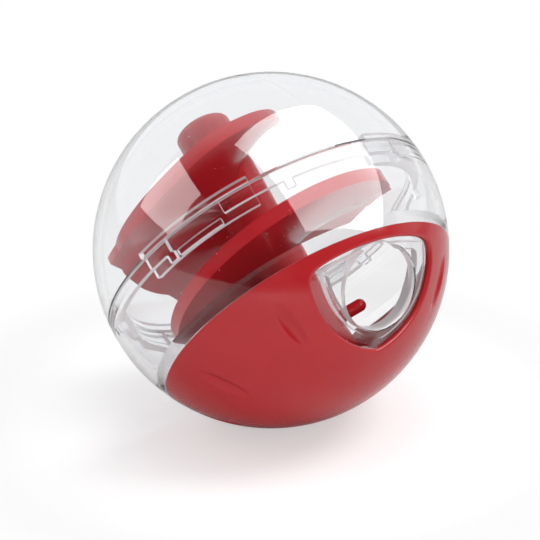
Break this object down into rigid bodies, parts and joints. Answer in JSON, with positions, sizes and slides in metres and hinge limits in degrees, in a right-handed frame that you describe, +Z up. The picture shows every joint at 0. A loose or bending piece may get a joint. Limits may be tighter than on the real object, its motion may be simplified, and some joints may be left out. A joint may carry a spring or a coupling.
{
  "type": "treat ball",
  "caption": "Treat-dispensing ball: clear half shells on a bayonet, an opaque cover with a shield-shaped window round the outlet, and a spiral chute on a column inside.",
  "frame": {"origin": "the point of the ball's surface that touches the ground when the ball lies with its outlet to the front", "axes": "+Z up; -Y is the side that the outlet faces; the ball's axis lies in the YZ plane and leans back from the vertical by 50.9 degrees towards +Y at the clear pole"},
  "size_m": [0.08, 0.0796, 0.08],
  "materials": {
    "clear_plastic": "clear, polished",
    "red_cover_plastic": "glossy",
    "red_chute_plastic": "glossy"
  },
  "bodies": {
    "lower_half": {"lower_shell": "clear_plastic", "base_cover": "red_cover_plastic"},
    "chute_insert": {"upper_chute": "red_chute_plastic", "lower_chute": "red_chute_plastic"},
    "upper_half": {"upper_shell": "clear_plastic"}
  },
  "joints": [
    {"name": "lid_twist", "type": "hinge", "parent": "lower_half", "child": "chute_insert", "pos_m": [0, 0, 0.04], "axis": [0, 0.776, 0.6307], "range_deg": [0, 22.5]},
    {"name": "lid_lift", "type": "slide", "parent": "chute_insert", "child": "upper_half", "axis": [0, 0.776, 0.6307], "range_m": [0, 0.06]}
  ]
}
